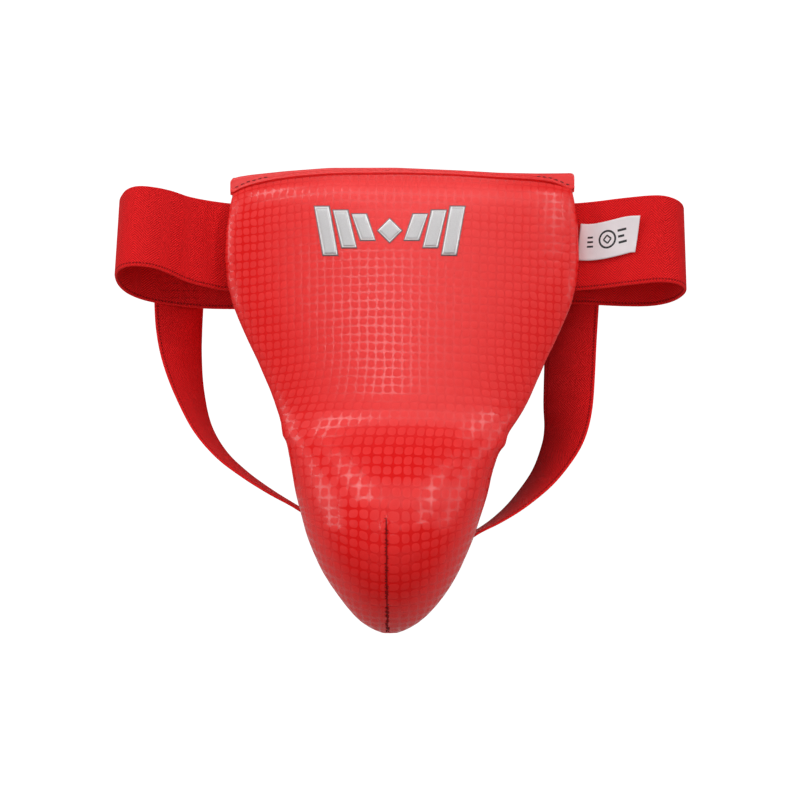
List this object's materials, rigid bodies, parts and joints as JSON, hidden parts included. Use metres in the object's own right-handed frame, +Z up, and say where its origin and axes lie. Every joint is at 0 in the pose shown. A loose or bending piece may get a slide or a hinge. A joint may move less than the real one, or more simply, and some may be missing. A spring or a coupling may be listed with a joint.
{
  "type": "groin protector",
  "caption": "Padded abdomen guard with a hard groin cup, worn on an elastic waistband with elastic leg straps.",
  "frame": {"origin": "middle of the waistband at the plane where it is sewn to the guard", "axes": "+X to the viewer's right as seen from the front, front faces -Y, +Z up as worn"},
  "size_m": [0.3306, 0.0969, 0.2627],
  "materials": {
    "cover": "embossed synthetic leather, satin",
    "binding": "smooth synthetic leather, satin",
    "lining": "knitted lining, matt",
    "foam": "closed cell foam",
    "cup": "moulded",
    "elastic": "ribbed woven elastic",
    "thread": "sewing thread",
    "silver_print": "metallic film",
    "outline_print": "printed outline",
    "satin": "satin",
    "ink": "printed ink"
  },
  "bodies": {
    "guard": {"outer_cover": "cover", "abdomen_foam": "foam", "cup_foam": "foam", "hard_cup": "cup", "cup_rim_pad": "lining", "cup_lining": "lining", "back_lining": "lining", "tail_lining": "lining", "top_binding": "binding", "binding_thread": "thread", "dart_thread": "thread", "waistband_left": "elastic", "waistband_right": "elastic", "leg_strap_left": "elastic", "leg_strap_right": "elastic", "waist_stitching": "thread", "strap_end_stitching": "thread", "emblem_outline": "outline_print", "emblem_bars": "silver_print", "size_label": "satin", "label_marks": "ink"},
    "waistband_back": {"waistband_rear": "elastic", "strap_top_stitching": "thread"}
  },
  "joints": [
    {"name": "waistband_stretch", "type": "slide", "parent": "guard", "child": "waistband_back", "axis": [0, 1, 0], "range_m": [-0.008, 0.08], "stiffness_N_per_m": 120, "deforming": ["waistband_left", "waistband_right", "leg_strap_left", "leg_strap_right"]}
  ]
}
